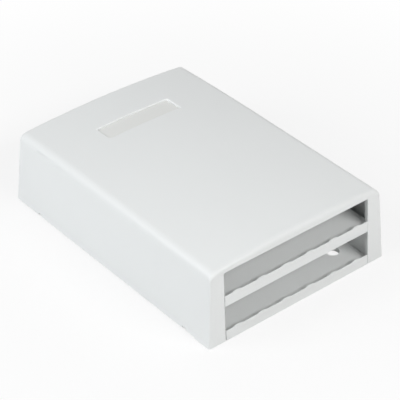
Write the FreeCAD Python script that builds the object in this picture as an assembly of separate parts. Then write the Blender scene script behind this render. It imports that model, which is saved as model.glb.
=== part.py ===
import FreeCAD, Part
import math
import os

# Surface mount jack box: a low two-row box for snap-in jack modules.
# All sizes are in millimetres. The box stands on z = 0 with its front face towards -Y,
# centred on x = 0 and on the length of its footprint.

# Module bays
bay_pitch = 17.0            # one jack module
bays_per_row = 6
bay_height = 15.3           # lower row, sill to crossbar
upper_bay_height = 14.4     # upper row, crossbar to the edge of the cover
sill_height = 6.0
crossbar_height = 6.5
lip_thickness = 0.9         # of the sill and of the crossbar
lip_edge_radius = 0.3
catch_width = 6.4           # catch bump in the middle of each bay
catch_rise = 0.5
catch_top = 0.3             # flat on top of a catch, front to back
catch_setback = 0.2
catch_slope = 2.0           # run of the ramp behind a catch
catch_end = 1.8             # slope at both ends of a catch

# Outer form of the cover
pillar_width = 11.5         # beside the bays, at the foot
length = 173.6              # front face to the foot of the rear wall
top_strip = 6.2             # bays to the crest of the crowned top
crown = 3.0                 # fall of the top from its crest to the side walls
rear_fall = 1.0             # further fall of the top towards the rear
rear_fall_length = 56.0
front_slope = 0.46          # degrees that the top falls from there towards the front
wall_draft = 3.8            # degrees that the four walls lean in
cutout_draft = 0.7          # degrees that the sides of the front cut-out lean in
edge_radius = 5.0           # long top edges
rear_edge_radius = 1.5      # edge round the rear face
front_edge_radius = 1.0     # upright edges of the front face
front_top_radius = 3.0      # top edge of the front face
cover_wall = 2.4
front_wall = 2.4
inner_corner_radius = 0.8   # inside the rear edges
cutout_corner_radius = 0.8
cutout_edge_radius = 0.4    # front edge round the bays
latch_rebate = 0.8          # step behind the upper edge of the bays, for the module latches
foot_gap = 0.8              # side and rear walls end this far above the surface
foot_length = 12.0          # the front of the side walls reaches down to the surface

# Label recess in the top of the cover
label_width = 50.2
label_depth = 12.1
label_sink = 1.1
label_from_front = 137.2    # middle of the recess
label_corner_radius = 2.0
label_edge_radius = 0.5     # rim of the recess
label_card_thickness = 0.3
label_card_margin = 0.15

# Snap tongues of the base, and the notches that free them
tongue_width = 9.0
tongue_thickness = 1.6
tongue_height = 11.0
tongue_nose = 1.2
tongue_gap = 0.7            # nose to the plain wall of the cover
tongue_from_front = 20.6
tongue_from_rear = 23.4
snap_ledge_height = 2.0
notch_width = 3.2
notch_height = 1.3          # at the outer face; the notch runs out to nothing inside

# Break-outs scored on the inside of the cover, for raceway
breakout_width = 25.0
breakout_height = 19.0
breakout_from_front = 106.0
score_width = 0.8
score_depth = 1.4

# Stiffening ribs under the top of the cover
rib_thickness = 1.4
rib_depth = 3.0
rib_offset = 22.0

# Base
floor_thickness = 2.8
rim_height = 4.0
rim_thickness = 1.5
base_corner_radius = 2.0
cheek_offset = 2.1          # cheeks beside the lower bays, set back from their sides
cheek_thickness = 1.5
fit_gap = 0.45              # base to the walls of the cover
seam_gap = 0.15             # crossbar to the edges of the front cut-out
sill_gap = 0.3              # sill to the edges of the front cut-out

# Bay shelf
shelf_thickness = 2.2
shelf_sink = 3.1            # shelf below the top of the crossbar
shelf_length = 42.0
shelf_slot_width = 9.0      # tie slots through the rear of the shelf
shelf_slot_length = 3.5

# Screws
screw_radius = 1.5
screw_head_radius = 2.9
screw_head_height = 2.0
screw_length = 8.0          # below the head
screw_tip = 1.5
screw_gap = 0.05            # shank to its hole
boss_radius = 4.0

# Mounting holes in the floor of the base
mount_spacing = 82.6
keyhole_from_front = 18.1
keyhole_head_radius = 4.0
keyhole_slot_radius = 2.2
keyhole_slot_length = 8.0
rear_hole_from_rear = 19.0

# Cable entry through the floor, and the tie bridges
entry_width = 40.0
entry_depth = 24.0
entry_from_rear = 31.0      # middle of the entry
entry_corner_radius = 5.0
bridge_width = 8.6
bridge_depth = 3.6
bridge_height = 5.2
bridge_bar = 1.8

# Slack spool
spool_radius = 30.0         # smallest bend of the stored cable
spool_wall = 1.8
spool_height = 13.0
spool_finger = 7.5          # reach of the fingers that keep the turns in
spool_finger_width = 11.0
spool_finger_thickness = 1.6
spool_arms = 4              # spokes, and fingers in each layer
spool_spoke_width = 7.0
spool_hub_radius = 7.0
spool_seat_height = 6.5     # of the boss that carries the hub, above the floor

# Worked out from the sizes above
opening_width = bays_per_row * bay_pitch
width = opening_width + 2 * pillar_width
front = -length / 2
rear = length / 2
crossbar_low = sill_height + bay_height
crossbar_top = crossbar_low + crossbar_height
opening_top = crossbar_top + upper_bay_height
height = opening_top + top_strip
shelf_top = crossbar_top - shelf_sink
shelf_low = shelf_top - shelf_thickness
wall_slope = math.tan(math.radians(wall_draft))
cutout_slope = math.tan(math.radians(cutout_draft))
crown_radius = ((width / 2) ** 2 + crown ** 2) / (2 * crown)
crest_y = rear - rear_fall_length
fall_radius = (rear_fall_length ** 2 + rear_fall ** 2) / (2 * rear_fall)
boss_x = opening_width / 2
boss_y = front + shelf_length - boss_radius
entry_y = rear - entry_from_rear
spool_y = (front + shelf_length + entry_y - entry_depth / 2) / 2
spool_seat = floor_thickness + spool_seat_height


def box(x0, x1, y0, y1, z0, z1):
    return Part.makeBox(x1 - x0, y1 - y0, z1 - z0, FreeCAD.Vector(x0, y0, z0))


def post(x, y, radius, z0, z1):
    return Part.makeCylinder(radius, z1 - z0, FreeCAD.Vector(x, y, z0))


def side_at(z, inset):
    """Half the width between the side walls at height z, moved in by inset."""
    return width / 2 - wall_slope * z - inset


def rear_at(z, inset):
    return rear - wall_slope * z - inset


def front_at(z, inset):
    return front + wall_slope * z + inset


def inside_front(z):
    """Where the base may start behind the front wall, for a piece that reaches up to z."""
    return front_at(z, front_wall + fit_gap)


def cutout_at(z):
    """Half the width of the front cut-out at height z."""
    return opening_width / 2 - cutout_slope * z


def bars_along_x(points, x0, x1):
    """Prism along X from an outline of (y, z) points."""
    outline = [FreeCAD.Vector(x0, y, z) for y, z in points]
    face = Part.Face(Part.makePolygon(outline + outline[:1]))
    return face.extrude(FreeCAD.Vector(x1 - x0, 0, 0))


def rounded_plate(x0, x1, y0, y1, z0, z1, radius):
    plate = box(x0, x1, y0, y1, z0, z1)
    upright = [e for e in plate.Edges if e.BoundBox.ZLength > (z1 - z0) / 2]
    return plate.makeFillet(radius, upright)


def fused(first, others):
    return first.multiFuse(others).removeSplitter()


def both_sides(shape):
    return [shape, shape.mirror(FreeCAD.Vector(0, 0, 0), FreeCAD.Vector(1, 0, 0))]


# ---- cover

def swept(section):
    """Solid of an upright section: along the slope from the front, then over the crest to the rear."""
    slope = math.radians(front_slope)
    centre = FreeCAD.Vector(0, crest_y, height - fall_radius)
    rearwards = FreeCAD.Vector(-1, 0, 0)
    turn = math.degrees(math.asin((rear_fall_length + 1) / (fall_radius - height - 1)))
    tilted = section.rotated(centre, rearwards, -front_slope)
    over_the_crest = tilted.revolve(centre, rearwards, front_slope + turn)
    run = (crest_y - front + 1) / math.cos(slope)
    return tilted.extrude(FreeCAD.Vector(0, -math.cos(slope), -math.sin(slope)) * run).fuse(over_the_crest)


def section_face(low, side, shoulder, crest):
    """Symmetric section face: foot, side wall up to its end, rounded shoulder, arc of the crown."""
    def at(point, s):
        return FreeCAD.Vector(s * point[0], crest_y, point[1])

    edges = [Part.makeLine(at(low, -1), at(low, 1)),
             Part.Arc(at(shoulder[-1], -1), at(crest, 1), at(shoulder[-1], 1)).toShape()]
    for s in (-1, 1):
        edges.append(Part.makeLine(at(low, s), at(side, s)))
        if len(shoulder) > 1:
            edges.append(Part.Arc(at(side, s), at(shoulder[0], s), at(shoulder[1], s)).toShape())
    return Part.Face(Part.Wire(Part.__sortEdges__(edges)))


def under_the_top(lowered):
    """Everything below the crowned top, when the top is lowered by that much."""
    radius = crown_radius - lowered
    edge = (width / 2, height - crown_radius + math.sqrt(radius ** 2 - (width / 2) ** 2))
    return swept(section_face((width / 2, 0), edge, [edge], (0, height - lowered)))


def case_section(inset, low):
    """Section of the case, moved in by inset: leaning side walls, rounded shoulders, crowned top."""
    draft = math.radians(wall_draft)
    across = (math.cos(draft), math.sin(draft))
    away = width / 2 * across[0] - edge_radius - (height - crown_radius) * across[1]
    along = math.sqrt((crown_radius - edge_radius) ** 2 - away ** 2)
    centre = (away * across[0] - along * across[1],
              height - crown_radius + away * across[1] + along * across[0])
    lean = math.atan2(centre[1] - height + crown_radius, centre[0])
    radius = edge_radius - inset
    points = [(centre[0] + radius * math.cos(a), centre[1] + radius * math.sin(a))
              for a in (draft, (draft + lean) / 2, lean)]
    foot = (side_at(low, inset / across[0]), low)
    return section_face(foot, points[0], points[1:], (0, height - inset))


def between_the_walls(sides, front_inset, z0, z1):
    """Block between the leaning walls, moved in by sides and by front_inset."""
    lean = sides / math.cos(math.radians(wall_draft))

    def ring(z):
        x, y0, y1 = side_at(z, lean), front_at(z, front_inset), rear_at(z, lean)
        return [FreeCAD.Vector(*p) for p in ((-x, y0, z), (x, y0, z), (x, y1, z), (-x, y1, z))]

    low, high = ring(z0), ring(z1)
    faces = [Part.Face(Part.makePolygon(r + r[:1])) for r in (low, high)]
    for i in range(4):
        j = (i + 1) % 4
        faces.append(Part.Face(Part.makePolygon([low[i], low[j], high[j], high[i], low[i]])))
    return Part.makeSolid(Part.makeShell(faces))


def case_form(inset, front_inset, z0, rear_radius):
    """Closed form of the case with its walls moved in by inset and its rear edges rounded."""
    lean = inset / math.cos(math.radians(wall_draft))
    z1 = height + 1
    profile = [(front_at(z0, front_inset), z0), (rear_at(z0, lean), z0),
               (rear_at(z1, lean), z1), (front_at(z1, front_inset), z1)]
    form = swept(case_section(inset, z0)).common(bars_along_x(profile, -width, width))
    round_rear = []
    for e in form.Edges:
        middle = e.CenterOfMass
        if middle.z > height / 4 and abs(middle.y - rear_at(middle.z, lean)) < 0.01:
            round_rear.append(e)
    return form.makeFillet(rear_radius, round_rear)


def on_front(edge):
    """Whether the middle of an edge lies in the leaning front face."""
    middle = edge.CenterOfMass
    return abs(middle.y - front_at(middle.z, 0)) < 0.01


def rounded_along(form, radii):
    """Fillet of form from (number of the edge, radius at its start, radius at its end)."""
    page = FreeCAD.newDocument("rounding")
    plain = page.addObject("Part::Feature", "plain")
    plain.Shape = form
    rounding = page.addObject("Part::Fillet", "rounding")
    rounding.Base = plain
    rounding.Edges = radii
    page.recompute()
    rounded = rounding.Shape.copy()
    FreeCAD.closeDocument(page.Name)
    return rounded


def soften_front(form):
    """Wide rounding along the top, that narrows round both shoulders to the upright edges."""
    numbered = [(i + 1, e) for i, e in enumerate(form.Edges)
                if on_front(e) and e.BoundBox.ZMax > height / 4]
    shoulder = min(e.BoundBox.ZMax for i, e in numbered if e.BoundBox.ZMin < height / 4)
    radii = []
    for i, e in numbered:
        wide = [v.Z > shoulder + edge_radius / 4 for v in e.Vertexes]
        radii.append((i, *[front_top_radius if w else front_edge_radius for w in wide]))
    return rounded_along(form, radii)


def front_cutout():
    low, high = cutout_at(-1), cutout_at(opening_top)
    through = front_at(opening_top, front_wall) + 1
    points = [FreeCAD.Vector(x, front - 1, z)
              for x, z in ((-low, -1), (low, -1), (high, opening_top), (-high, opening_top))]
    face = Part.Face(Part.makePolygon(points + points[:1]))
    cut = face.extrude(FreeCAD.Vector(0, through - front + 1, 0))
    corners = [e for e in cut.Edges
               if e.BoundBox.YLength > front_wall and e.BoundBox.ZMin > opening_top - 0.1]
    cut = cut.makeFillet(cutout_corner_radius, corners)
    rebate = box(-high, high, front_at(opening_top, front_wall / 2), through,
                 opening_top - 1, opening_top + latch_rebate)
    return cut.fuse(rebate)


def soften_cutout(shell):
    """Rounds the front edge round the bays."""
    reach = opening_width / 2 + 0.01
    edges = [e for e in shell.Edges if on_front(e)
             and abs(e.BoundBox.XMin) < reach and abs(e.BoundBox.XMax) < reach
             and e.BoundBox.ZMax > 0.01 and e.BoundBox.ZMax < opening_top + 0.01]
    return shell.makeFillet(cutout_edge_radius, edges)


def soften_label_rim(shell):
    """Rounds the rim of the label recess, where it meets the top."""
    y = front + label_from_front
    half = label_depth / 2 + 0.01
    floor = under_the_top(label_sink / 2)
    edges = []
    for e in shell.Edges:
        b = e.BoundBox
        inside = b.YMin > y - half and b.YMax < y + half and abs(b.XMin) < label_width / 2 + 0.01
        level = b.ZLength < label_sink and not floor.isInside(e.CenterOfMass, 0.01, True)
        if inside and level and b.ZMin > opening_top:
            edges.append(e)
    return shell.makeFillet(label_edge_radius, edges)


def label_plate(margin, low, high):
    """Rounded plate that follows the crowned top, from low to high below its surface."""
    y = front + label_from_front
    plate = rounded_plate(-label_width / 2 + margin, label_width / 2 - margin,
                          y - label_depth / 2 + margin, y + label_depth / 2 - margin,
                          height / 2, height + 2, label_corner_radius - margin)
    if high is not None:
        plate = plate.common(under_the_top(high))
    return plate.cut(under_the_top(low))


def breakout_scores():
    """Scored outlines in the inner face of both side walls and of the rear wall."""
    high = foot_gap + breakout_height
    half = breakout_width / 2
    y = front + breakout_from_front
    at_side = [box(-width, width, y + s * half - score_width / 2, y + s * half + score_width / 2,
                   0, high) for s in (-1, 1)]
    at_side.append(box(-width, width, y - half, y + half, high - score_width, high))
    at_rear = [box(s * half - score_width / 2, s * half + score_width / 2, 0, rear + 1, 0, high)
               for s in (-1, 1)]
    at_rear.append(box(-half, half, 0, rear + 1, high - score_width, high))
    lines = at_side[0].multiFuse(at_side[1:] + at_rear)
    return lines.common(between_the_walls(cover_wall - score_depth, front_wall, -1, high + 1))


def snap_places():
    return [front + tongue_from_front, rear - tongue_from_rear]


def snap_ledges():
    """Ledges inside the side walls, just under the noses of the tongues."""
    high = floor_thickness + tongue_height - tongue_nose - 2 * seam_gap
    low = high - snap_ledge_height
    ledges = []
    for y in snap_places():
        reach = side_at(high, cover_wall) - tongue_gap + seam_gap
        ledge = box(reach, side_at(high, cover_wall / 2), y - tongue_width / 2,
                    y + tongue_width / 2, low, high)
        ledges += both_sides(ledge)
    return ledges


def top_ribs():
    y0 = front + shelf_length + 4
    y1 = rear - rear_fall_length / 2
    rib = box(rib_offset - rib_thickness / 2, rib_offset + rib_thickness / 2, y0, y1,
              height / 2, height).common(under_the_top(cover_wall / 2))
    rib = rib.cut(under_the_top(cover_wall + rib_depth))
    return both_sides(rib)


def release_notches():
    """Notches under the foot of the side walls, that run out to nothing at the inner face."""
    inner, outer = side_at(0, cover_wall), side_at(0, 0) + 1
    high = foot_gap + notch_height * (outer - inner) / cover_wall
    made = []
    for y in snap_places():
        points = [FreeCAD.Vector(x, y - notch_width / 2, z)
                  for x, z in ((inner, 0), (inner, foot_gap), (outer, high), (outer, 0))]
        face = Part.Face(Part.makePolygon(points + points[:1]))
        made += both_sides(face.extrude(FreeCAD.Vector(0, notch_width, 0)))
    return made


def make_cover():
    outer = soften_front(case_form(0, 0, 0, rear_edge_radius))
    inner = case_form(cover_wall, front_wall, -1, inner_corner_radius)
    shell = soften_cutout(outer.cut(inner).cut(front_cutout()))
    cover = fused(soften_label_rim(shell.cut(label_plate(0, label_sink, None))), snap_ledges() + top_ribs())
    lifted = box(-width, width, front + foot_length, rear + 1, -1, foot_gap)
    return cover.cut([lifted] + release_notches() + [breakout_scores()])


def make_label_card():
    low = label_sink - seam_gap / 3
    return label_plate(label_card_margin, low, low - label_card_thickness)


# ---- base and bay shelf

def catches(ground, lip_top):
    """One ramped catch with sloped ends on the lip, in the middle of each bay of a row."""
    y = front_at(lip_top, catch_setback)
    top = lip_top + catch_rise
    outline = [(y, ground), (y, lip_top), (y + catch_rise / 2, top), (y + catch_rise / 2 + catch_top, top),
               (y + catch_rise / 2 + catch_top + catch_slope, ground)]
    made = []
    for i in range(bays_per_row):
        x = (i - (bays_per_row - 1) / 2) * bay_pitch
        half = catch_width / 2
        across = [(x - half, ground), (x - half, lip_top), (x - half + catch_end, top),
                  (x + half - catch_end, top), (x + half, lip_top), (x + half, ground)]
        points = [FreeCAD.Vector(px, front - 1, pz) for px, pz in across]
        ends = Part.Face(Part.makePolygon(points + points[:1])).extrude(FreeCAD.Vector(0, length / 4, 0))
        made.append(bars_along_x(outline, x - half, x + half).common(ends))
    return made


def lip(z0, z1, gap):
    """Front bar of a bay row, that leans with the front face, with softened long edges."""
    x = cutout_at(z1) - gap
    outline = [(front_at(z0, 0), z0), (front_at(z0, lip_thickness), z0),
               (front_at(z1, lip_thickness), z1), (front_at(z1, 0), z1)]
    bar = bars_along_x(outline, -x, x)
    edges = [e for e in bar.Edges
             if e.BoundBox.XLength > x and (on_front(e) or e.BoundBox.ZMin > z1 - 0.01)
             and e.BoundBox.ZMax > 0.01]
    return bar.makeFillet(lip_edge_radius, edges)


def floor_plate():
    x = side_at(floor_thickness, cover_wall + fit_gap)
    y1 = rear_at(floor_thickness, cover_wall + fit_gap)
    y0 = inside_front(floor_thickness)
    plate = box(-x, x, y0, y1, 0, floor_thickness)
    corners = [e for e in plate.Edges if e.BoundBox.ZLength > 1 and e.BoundBox.YMin > 0]
    plate = plate.makeFillet(base_corner_radius, corners)
    bay_x = cutout_at(sill_height) - sill_gap
    return plate.fuse(box(-bay_x, bay_x, front_at(0, lip_thickness / 2), y0 + 1, 0, floor_thickness))


def rim():
    """Low wall round the sides and rear of the floor, open at the tongues and break-outs."""
    high = floor_thickness + rim_height
    x = side_at(high, cover_wall + fit_gap)
    y1 = rear_at(high, cover_wall + fit_gap)
    y0 = boss_y + boss_radius
    block = box(-x, x, y0, y1, floor_thickness / 2, high)
    corners = [e for e in block.Edges if e.BoundBox.ZLength > 1 and e.BoundBox.YMin > 0]
    block = block.makeFillet(base_corner_radius, corners)
    hollow = box(-x + rim_thickness, x - rim_thickness, y0 - 1, y1 - rim_thickness, 0, high + 1)
    corners = [e for e in hollow.Edges if e.BoundBox.ZLength > 1 and e.BoundBox.YMin > 0]
    wall = block.cut(hollow.makeFillet(base_corner_radius - rim_thickness, corners))
    y = front + breakout_from_front
    half = breakout_width / 2
    gaps = [box(-width, width, y - half, y + half, floor_thickness, high + 1),
            box(-half, half, 0, rear, floor_thickness, high + 1)]
    for place in snap_places():
        gaps.append(box(-width, width, place - tongue_width, place + tongue_width,
                        floor_thickness, high + 1))
    return wall.cut(gaps)


def tongues():
    """Upright snap tongues with a ramped nose, two at each side."""
    top = floor_thickness + tongue_height
    nose_low = top - tongue_nose
    outer = side_at(nose_low, cover_wall) - tongue_gap
    face = outer - tongue_nose / 2
    outline = [(face - tongue_thickness, 0), (face, 0), (face, nose_low - tongue_nose / 2),
               (outer, nose_low), (outer, nose_low + tongue_nose / 3), (face, top),
               (face - tongue_thickness, top)]
    made = []
    for y in snap_places():
        points = [FreeCAD.Vector(x, y - tongue_width / 2, z + floor_thickness / 2 * (z == 0))
                  for x, z in outline]
        blade = Part.Face(Part.makePolygon(points + points[:1]))
        made += both_sides(blade.extrude(FreeCAD.Vector(0, tongue_width, 0)))
    return made


def cheeks_and_bosses():
    x0 = opening_width / 2 + cheek_offset
    z0 = floor_thickness / 2
    outline = [(inside_front(z0), z0), (boss_y, z0), (boss_y, shelf_low),
               (inside_front(shelf_low), shelf_low)]
    cheek = bars_along_x(outline, x0, x0 + cheek_thickness)
    boss = post(boss_x, boss_y, boss_radius, floor_thickness / 2, shelf_low)
    return both_sides(cheek) + both_sides(boss)


def bridge_places():
    behind_shelf = front + shelf_length + bridge_depth
    beside_entry = entry_y - entry_depth / 2 - bridge_depth
    xs = (-bay_pitch * 2, 0, bay_pitch * 2)
    places = [(x, behind_shelf) for x in xs]
    return places + [(s * (entry_width / 2 + bridge_width), beside_entry) for s in (-1, 1)]


def tie_bridge(x, y):
    """Low arch that a cable tie passes under."""
    half = bridge_width / 2
    arch = rounded_plate(x - half, x + half, y - bridge_depth / 2, y + bridge_depth / 2,
                         floor_thickness / 2, floor_thickness + bridge_height, bridge_depth / 4)
    way = box(x - half + bridge_bar, x + half - bridge_bar, y - bridge_depth, y + bridge_depth,
              floor_thickness, floor_thickness + bridge_height - bridge_bar)
    return arch.cut(way)


def mounting_holes():
    """Two keyholes behind the bays' front and two round holes near the rear."""
    x = mount_spacing / 2
    y = front + keyhole_from_front
    head = post(x, y, keyhole_head_radius, -1, floor_thickness + 1)
    slot = box(x - keyhole_slot_radius, x + keyhole_slot_radius, y, y + keyhole_slot_length,
               -1, floor_thickness + 1)
    end = post(x, y + keyhole_slot_length, keyhole_slot_radius, -1, floor_thickness + 1)
    rear_hole = post(x, rear - rear_hole_from_rear, keyhole_slot_radius, -1, floor_thickness + 1)
    return both_sides(head.multiFuse([slot, end])) + both_sides(rear_hole)


def cable_entry():
    return rounded_plate(-entry_width / 2, entry_width / 2, entry_y - entry_depth / 2,
                         entry_y + entry_depth / 2, -1, floor_thickness + 1, entry_corner_radius)


def pilot(x, y, top, grip):
    """Blind hole for a screw that clamps a piece of that thickness on top."""
    return post(x, y, screw_radius + screw_gap, top + grip - screw_length - screw_gap, top + 1)


def make_base():
    grown = [lip(0, sill_height, sill_gap), rim()] + catches(floor_thickness / 2, sill_height)
    grown += tongues() + cheeks_and_bosses()
    grown += [tie_bridge(x, y) for x, y in bridge_places()]
    grown.append(post(0, spool_y, boss_radius, floor_thickness / 2, spool_seat))
    base = fused(floor_plate(), grown)
    pilots = both_sides(pilot(boss_x, boss_y, shelf_low, shelf_thickness))
    pilots.append(pilot(0, spool_y, spool_seat, spool_finger_thickness))
    return base.cut(mounting_holes() + pilots + [cable_entry()])


def make_bay_shelf():
    x = cutout_at(crossbar_top) - seam_gap
    wide = opening_width / 2 + cheek_offset + cheek_thickness
    y0 = inside_front(shelf_top)
    y1 = front + shelf_length
    plate = box(-wide, wide, y0, y1, shelf_low, shelf_top)
    corners = [e for e in plate.Edges if e.BoundBox.ZLength > 1 and e.BoundBox.YMin > y1 - 1]
    plate = plate.makeFillet(boss_radius, corners)
    neck = box(-x, x, front_at(shelf_top, lip_thickness / 2), y0 + 1, shelf_low, shelf_top)
    stop = box(-x + boss_radius, x - boss_radius, y1 - shelf_thickness, y1,
               shelf_low - shelf_sink, shelf_top)
    crossbar = lip(crossbar_low, crossbar_top, seam_gap)
    shelf = fused(plate, [neck, stop, crossbar] + catches(shelf_low, crossbar_top))
    holes = both_sides(post(boss_x, boss_y, screw_radius + screw_gap, 0, height))
    y = y1 - shelf_thickness - shelf_slot_length
    for i in range(bays_per_row):
        place = (i - (bays_per_row - 1) / 2) * bay_pitch
        holes.append(rounded_plate(place - shelf_slot_width / 2, place + shelf_slot_width / 2,
                                   y - shelf_slot_length / 2, y + shelf_slot_length / 2,
                                   0, height, shelf_slot_length / 3))
    return shelf.cut(holes)


# ---- slack spool and screws

def make_slack_spool():
    """Drum with staggered fingers below and above, on spokes round a hub."""
    low = floor_thickness
    seat = spool_seat
    high = low + spool_height
    reach = spool_radius + spool_finger
    drum = post(0, spool_y, spool_radius, low, high).cut(
        post(0, spool_y, spool_radius - spool_wall, low - 1, high + 1))
    hub = post(0, spool_y, spool_hub_radius, low, seat + spool_finger_thickness)
    spokes = []
    fingers = []
    disc = post(0, spool_y, reach, low, high)
    for i in range(spool_arms):
        turn = 360.0 * i / spool_arms
        spoke = box(0, spool_radius - spool_wall / 2, -spool_spoke_width / 2, spool_spoke_width / 2,
                    seat, seat + spool_finger_thickness)
        spokes.append(placed(spoke, turn))
        for z, shift in ((low, 0), (high - spool_finger_thickness, 180.0 / spool_arms)):
            finger = rounded_plate(spool_radius - spool_wall / 2, reach, -spool_finger_width / 2,
                                   spool_finger_width / 2, z, z + spool_finger_thickness,
                                   spool_wall / 3)
            fingers.append(placed(finger, turn + shift).common(disc))
    spool = fused(drum, [hub] + spokes + fingers)
    spool = spool.cut(post(0, spool_y, boss_radius + screw_gap, low - 1, seat))
    return spool.cut(post(0, spool_y, screw_radius + screw_gap, low - 1, high + 1))


def placed(shape, turn):
    shape.rotate(FreeCAD.Vector(0, 0, 0), FreeCAD.Vector(0, 0, 1), turn)
    shape.translate(FreeCAD.Vector(0, spool_y, 0))
    return shape


def make_screw(x, y, seat):
    """Pan-head screw with a cross recess; its head sits on seat."""
    head = post(x, y, screw_head_radius, seat, seat + screw_head_height)
    rim_edge = [e for e in head.Edges if e.BoundBox.ZMin > seat + screw_head_height - 0.01]
    head = head.makeFillet(screw_head_height / 2, rim_edge)
    shank = post(x, y, screw_radius, seat - screw_length + screw_tip, seat)
    tip = Part.makeCone(screw_radius / 4, screw_radius, screw_tip,
                        FreeCAD.Vector(x, y, seat - screw_length))
    screw = fused(head, [shank, tip])
    arm = screw_head_radius * 0.6
    blade = screw_radius / 4
    deep = seat + screw_head_height / 3
    top = seat + screw_head_height + 1
    cross = box(x - arm, x + arm, y - blade, y + blade, deep, top).fuse(
        box(x - blade, x + blade, y - arm, y + arm, deep, top))
    return screw.cut(cross)


# ---- the pieces

pieces = {
    "base": make_base(),
    "bay_shelf": make_bay_shelf(),
    "shelf_screw_left": make_screw(-boss_x, boss_y, shelf_top),
    "shelf_screw_right": make_screw(boss_x, boss_y, shelf_top),
    "slack_spool": make_slack_spool(),
    "spool_screw": make_screw(0, spool_y, spool_seat + spool_finger_thickness),
    "cover": make_cover(),
    "label_card": make_label_card(),
}

os.makedirs("parts", exist_ok=True)
for name, shape in pieces.items():
    shape.exportStep("parts/" + name + ".step")
    b = shape.optimalBoundingBox(False, False)
    print(name, len(shape.Solids), "solid", shape.isValid(), round(shape.Volume), "mm3",
          [round(v, 2) for v in (b.XMin, b.XMax, b.YMin, b.YMax, b.ZMin, b.ZMax)])
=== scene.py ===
import bpy
import math
from mathutils import Matrix, Vector


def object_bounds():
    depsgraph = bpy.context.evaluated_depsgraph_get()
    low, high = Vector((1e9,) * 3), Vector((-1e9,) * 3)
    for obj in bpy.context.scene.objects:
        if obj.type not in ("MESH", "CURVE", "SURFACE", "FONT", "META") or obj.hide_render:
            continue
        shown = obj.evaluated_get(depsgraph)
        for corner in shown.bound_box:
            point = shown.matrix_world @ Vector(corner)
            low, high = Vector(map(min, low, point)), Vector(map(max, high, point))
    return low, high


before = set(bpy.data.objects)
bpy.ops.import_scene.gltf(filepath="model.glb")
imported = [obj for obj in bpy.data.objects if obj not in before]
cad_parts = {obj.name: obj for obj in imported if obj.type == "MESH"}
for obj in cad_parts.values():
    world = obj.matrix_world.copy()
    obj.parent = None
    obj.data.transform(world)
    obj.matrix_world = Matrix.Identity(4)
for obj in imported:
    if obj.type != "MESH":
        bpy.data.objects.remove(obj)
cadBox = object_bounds()
print("frame loaded:", len(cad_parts), "nodes")


def feed(tree, value, socket):
    # a socket is linked, a colour or a number is set
    if isinstance(value, bpy.types.NodeSocket):
        tree.links.new(value, socket)
    elif isinstance(value, tuple):
        socket.default_value = (*value, 1)
    else:
        socket.default_value = value


def combined(tree, operation, *values):
    # a math node of one or two values
    node = tree.nodes.new("ShaderNodeMath")
    node.operation = operation
    for value, socket in zip(values, node.inputs):
        feed(tree, value, socket)
    return node.outputs[0]


def noise(tree, place, size, detail=2.0, roughness=0.5):
    # size is the width of one cell in metres
    node = tree.nodes.new("ShaderNodeTexNoise")
    node.inputs["Scale"].default_value = 1.0 / size
    node.inputs["Detail"].default_value = detail
    node.inputs["Roughness"].default_value = roughness
    tree.links.new(place, node.inputs["Vector"])
    return node.outputs["Fac"]


def ramp(tree, value, source, target):
    # a straight line from the source range to the target range, held at its ends
    node = tree.nodes.new("ShaderNodeMapRange")
    node.inputs["From Min"].default_value, node.inputs["From Max"].default_value = source
    node.inputs["To Min"].default_value, node.inputs["To Max"].default_value = target
    tree.links.new(value, node.inputs["Value"])
    return node.outputs["Result"]


def mixColour(tree, factor, a, b):
    node = tree.nodes.new("ShaderNodeMix")
    node.data_type = "RGBA"
    feed(tree, a, node.inputs["A"])
    feed(tree, b, node.inputs["B"])
    tree.links.new(factor, node.inputs["Factor"])
    return node.outputs["Result"]


def bump(tree, height, depth):
    node = tree.nodes.new("ShaderNodeBump")
    node.inputs["Strength"].default_value = 1.0
    node.inputs["Distance"].default_value = depth
    tree.links.new(height, node.inputs["Height"])
    return node.outputs["Normal"]


def shaded(colour, share):
    return tuple(c * share for c in colour)


def newMaterial(name):
    material = bpy.data.materials.new(name)
    material.use_nodes = True
    tree = material.node_tree
    shader = tree.nodes["Principled BSDF"]
    place = tree.nodes.new("ShaderNodeTexCoord")
    return material, tree, shader, place.outputs["Object"]


# the values of noise that the roughness follows
noiseSpan = (0.3, 0.7)

# a painted highlight along the rim of the label recess, in metres
rimHighlightPaint = {
    "centre": (0.0, 0.0504),
    "half": (0.0251, 0.00605),
    "band": (-0.0003, 0.0006),  # from inside to outside of the recess
    # the painted highlight's colour, lighter than the cover
    "colour": (0.93, 0.945, 0.945),
}


def paintedRimHighlight(tree, place, colour):
    # painted highlight: the rim of the recess is painted lighter on its right and at its rear, where the
    # lamps catch it
    axes = tree.nodes.new("ShaderNodeSeparateXYZ")
    tree.links.new(place, axes.inputs[0])
    off = [combined(tree, "SUBTRACT", axes.outputs[i], rimHighlightPaint["centre"][i]) for i in (0, 1)]
    corner = [combined(tree, "SUBTRACT", off[i], rimHighlightPaint["half"][i]) for i in (0, 1)]
    around = [combined(tree, "SUBTRACT", combined(tree, "ABSOLUTE", off[i]), rimHighlightPaint["half"][i])
              for i in (0, 1)]
    inner, outer = rimHighlightPaint["band"]
    beyond = combined(tree, "GREATER_THAN", combined(tree, "MAXIMUM", *corner), inner)
    within = combined(tree, "LESS_THAN", combined(tree, "MAXIMUM", *around), outer)
    return mixColour(tree, combined(tree, "MULTIPLY", beyond, within), colour, rimHighlightPaint["colour"])


# what all the moulded pieces share, in metres and in shares of their colour
moulding = {
    "toneSize": 0.05,
    "toneShares": (0.985, 1.01),
    "glossSize": 0.012,
    "glossSpread": 0.03,
    "ior": 1.5,
}


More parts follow.
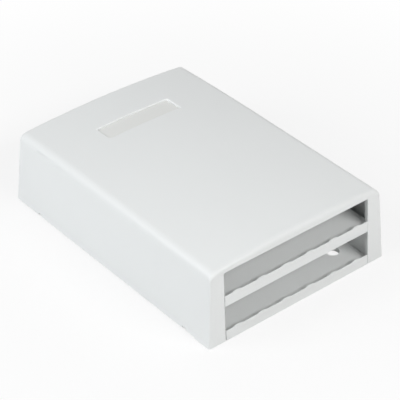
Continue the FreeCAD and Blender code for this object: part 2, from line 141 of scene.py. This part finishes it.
def mouldedPlastic(name, finish, paintedHighlight=None):
    material, tree, shader, place = newMaterial(name)
    tone = noise(tree, place, moulding["toneSize"], 3.0)
    darker, lighter = [shaded(finish["colour"], share) for share in moulding["toneShares"]]
    colour = mixColour(tree, tone, darker, lighter)
    # a painted highlight is mixed into the colour where one is given
    if paintedHighlight:
        colour = paintedHighlight(tree, place, colour)
    tree.links.new(colour, shader.inputs["Base Color"])
    gloss = noise(tree, place, moulding["glossSize"], 4.0)
    spread = (finish["roughness"] - moulding["glossSpread"], finish["roughness"] + moulding["glossSpread"])
    tree.links.new(ramp(tree, gloss, noiseSpan, spread), shader.inputs["Roughness"])
    grain = noise(tree, place, finish["grain"], 2.0, 0.6)
    tree.links.new(bump(tree, grain, finish["grainDepth"]), shader.inputs["Normal"])
    shader.inputs["IOR"].default_value = moulding["ior"]
    return material


def zincPlate(name, finish):
    material, tree, shader, place = newMaterial(name)
    tone = noise(tree, place, finish["toneSize"], 3.0)
    darker = shaded(finish["colour"], finish["darkShare"])
    tree.links.new(mixColour(tree, tone, darker, finish["colour"]), shader.inputs["Base Color"])
    gloss = noise(tree, place, finish["glossSize"], 3.0)
    tree.links.new(ramp(tree, gloss, noiseSpan, finish["roughness"]), shader.inputs["Roughness"])
    scratches = noise(tree, place, finish["scratch"])
    tree.links.new(bump(tree, scratches, finish["scratchDepth"]), shader.inputs["Normal"])
    shader.inputs["Metallic"].default_value = 1.0
    return material


coverFinish = {"colour": (0.818, 0.833, 0.830), "roughness": 0.40, "grain": 0.00035, "grainDepth": 0.00002}
baseFinish = {"colour": (0.818, 0.833, 0.830), "roughness": 0.45, "grain": 0.00035, "grainDepth": 0.00002}
spoolFinish = {"colour": (0.80, 0.805, 0.79), "roughness": 0.42, "grain": 0.0004, "grainDepth": 0.00002}
labelFinish = {"colour": (0.794, 0.799, 0.781), "roughness": 0.75, "grain": 0.0002, "grainDepth": 0.00001}
screwFinish = {
    "colour": (0.62, 0.63, 0.65),
    "darkShare": 0.9,
    "toneSize": 0.002,
    "roughness": (0.22, 0.36),
    "glossSize": 0.0008,
    "scratch": 0.00012,
    "scratchDepth": 0.00001,
}


def dress():
    # the cover carries a painted highlight on the rear and right rims of its label recess
    cover = mouldedPlastic("coverPlastic", coverFinish, paintedRimHighlight)
    base = mouldedPlastic("basePlastic", baseFinish)
    spool = mouldedPlastic("spoolPlastic", spoolFinish)
    label = mouldedPlastic("labelCard", labelFinish)
    zinc = zincPlate("zincPlate", screwFinish)
    looks = {
        "cover": cover,
        "base": base,
        "bay_shelf": base,
        "slack_spool": spool,
        "label_card": label,
        "shelf_screw_left": zinc,
        "shelf_screw_right": zinc,
        "spool_screw": zinc,
    }
    for name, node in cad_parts.items():
        for slot in node.material_slots:
            slot.material = looks[name]
    print("finishes set")


# the camera, in degrees, millimetres of lens and metres
view = {
    "azimuth": -39.61,
    "elevation": 35.662,
    "lens": 149.24,
    "sensor": 36.0,
    "distance": 0.91013,
    "target": (-0.00721, -0.01269, 0.02873),
    "clip": (0.05, 20),
}


def direction(seat):
    # from the box to a camera or a lamp, with azimuth 0 in front of it
    azimuth, elevation = math.radians(seat["azimuth"]), math.radians(seat["elevation"])
    return Vector((math.sin(azimuth) * math.cos(elevation), -math.cos(azimuth) * math.cos(elevation),
                   math.sin(elevation)))


def makeCamera():
    data = bpy.data.cameras.new("photoCamera")
    data.lens = view["lens"]
    data.sensor_width = view["sensor"]
    data.clip_start, data.clip_end = view["clip"]
    camera = bpy.data.objects.new("photoCamera", data)
    bpy.context.scene.collection.objects.link(camera)
    azimuth = math.radians(view["azimuth"])
    back = direction(view)
    right = Vector((math.cos(azimuth), math.sin(azimuth), 0))
    turn = Matrix((right, back.cross(right), back)).transposed()
    camera.location = Vector(view["target"]) + turn @ Vector((0, 0, view["distance"]))
    camera.rotation_euler = turn.to_euler()
    bpy.context.scene.camera = camera
    print("camera set")


# the floor, the lamps and the light all round, in metres, degrees and watts
studio = {
    "floorColour": (0.90, 0.90, 0.90),
    "floorRoughness": 0.9,
    "floorSize": 4.0,
    "floorDrop": 0.0002,  # how far the floor lies below the box
    "floorNear": 0.80,  # share of plain white beside the box, where its shadow falls
    "floorFade": (0.13, 0.30),  # the floor turns to plain white between these distances
    "floorUnder": 0.45,  # share of plain white below the walls of the box
    "underWalls": (-0.0065, -0.0012),  # that strip, measured from the outline of the box
    "ambient": 0.09,
    "lampDistance": 1.1,
    "lamps": [
        {"name": "keyLamp", "azimuth": -105, "elevation": 36, "size": (0.8, 0.8), "power": 8.3,
         "colour": (0.965, 0.985, 1.0)},
        {"name": "frontLamp", "azimuth": 9, "elevation": 39, "size": (0.6, 0.28), "power": 6.7,
         "colour": (1.0, 0.995, 0.985)},
        {"name": "rearLamp", "azimuth": 150, "elevation": 60, "size": (0.6, 0.6), "power": 1.3,
         "colour": (1.0, 1.0, 1.0)},
    ],
}


def onlySeen(tree, seen, unseen):
    # the first shader for camera, glossy and transmission rays, the second one for the rest
    rays = tree.nodes.new("ShaderNodeLightPath")
    total = rays.outputs["Is Camera Ray"]
    for other in ("Is Glossy Ray", "Is Transmission Ray"):
        total = combined(tree, "MAXIMUM", total, rays.outputs[other])
    mix = tree.nodes.new("ShaderNodeMixShader")
    tree.links.new(total, mix.inputs[0])
    tree.links.new(unseen, mix.inputs[1])
    tree.links.new(seen, mix.inputs[2])
    return mix.outputs[0]


def floorWhiteness(tree):
    # the share of plain white: it grows with the distance, and drops in a strip below the walls
    place = tree.nodes.new("ShaderNodeTexCoord")
    away = tree.nodes.new("ShaderNodeVectorMath")
    away.operation = "LENGTH"
    tree.links.new(place.outputs["Object"], away.inputs[0])
    spread = ramp(tree, away.outputs["Value"], studio["floorFade"], (studio["floorNear"], 1.0))
    axes = tree.nodes.new("ShaderNodeSeparateXYZ")
    tree.links.new(place.outputs["Object"], axes.inputs[0])
    beyond = [combined(tree, "SUBTRACT", combined(tree, "ABSOLUTE", axes.outputs[i]), cadBox[1][i])
              for i in (0, 1)]
    outline = combined(tree, "MAXIMUM", *beyond)
    inner, outer = studio["underWalls"]
    strip = combined(tree, "MULTIPLY", combined(tree, "GREATER_THAN", outline, inner),
                     combined(tree, "LESS_THAN", outline, outer))
    drop = combined(tree, "MULTIPLY", strip, studio["floorNear"] - studio["floorUnder"])
    return combined(tree, "SUBTRACT", spread, drop)


def makeWorld():
    world = bpy.data.worlds.new("studioWorld")
    world.use_nodes = True
    bpy.context.scene.world = world
    tree = world.node_tree
    soft = tree.nodes["Background"]
    soft.inputs["Color"].default_value = (1, 1, 1, 1)
    soft.inputs["Strength"].default_value = studio["ambient"]
    white = tree.nodes.new("ShaderNodeBackground")
    white.inputs["Color"].default_value = (1, 1, 1, 1)
    white.inputs["Strength"].default_value = 1.0
    shown = onlySeen(tree, white.outputs[0], soft.outputs[0])
    tree.links.new(shown, tree.nodes["World Output"].inputs["Surface"])


def makeFloor():
    half = studio["floorSize"] / 2
    mesh = bpy.data.meshes.new("floor")
    mesh.from_pydata([(-half, -half, 0), (half, -half, 0), (half, half, 0), (-half, half, 0)], [],
                     [(0, 1, 2, 3)])
    floor = bpy.data.objects.new("floor", mesh)
    floor.location.z = -studio["floorDrop"]
    bpy.context.scene.collection.objects.link(floor)
    material = bpy.data.materials.new("floorPaper")
    material.use_nodes = True
    tree = material.node_tree
    shader = tree.nodes["Principled BSDF"]
    shader.inputs["Base Color"].default_value = (*studio["floorColour"], 1)
    shader.inputs["Roughness"].default_value = studio["floorRoughness"]
    shader.inputs["Specular IOR Level"].default_value = 0.0
    glow = tree.nodes.new("ShaderNodeEmission")
    glow.inputs["Color"].default_value = (1, 1, 1, 1)
    blend = tree.nodes.new("ShaderNodeMixShader")
    tree.links.new(floorWhiteness(tree), blend.inputs[0])
    tree.links.new(shader.outputs[0], blend.inputs[1])
    tree.links.new(glow.outputs[0], blend.inputs[2])
    shown = onlySeen(tree, blend.outputs[0], shader.outputs[0])
    tree.links.new(shown, tree.nodes["Material Output"].inputs["Surface"])
    mesh.materials.append(material)


def makeLamps():
    centre = (Vector(cadBox[0]) + Vector(cadBox[1])) / 2
    for lamp in studio["lamps"]:
        data = bpy.data.lights.new(lamp["name"], "AREA")
        data.shape = "RECTANGLE"
        data.size, data.size_y = lamp["size"]
        data.energy = lamp["power"]
        data.color = lamp["colour"]
        made = bpy.data.objects.new(lamp["name"], data)
        bpy.context.scene.collection.objects.link(made)
        toLamp = direction(lamp)
        made.location = centre + toLamp * studio["lampDistance"]
        made.rotation_euler = toLamp.to_track_quat("Z", "Y").to_euler()
    print("studio set")


dress()
makeCamera()
makeWorld()
makeFloor()
makeLamps()
bpy.context.scene.view_settings.view_transform = "Standard"
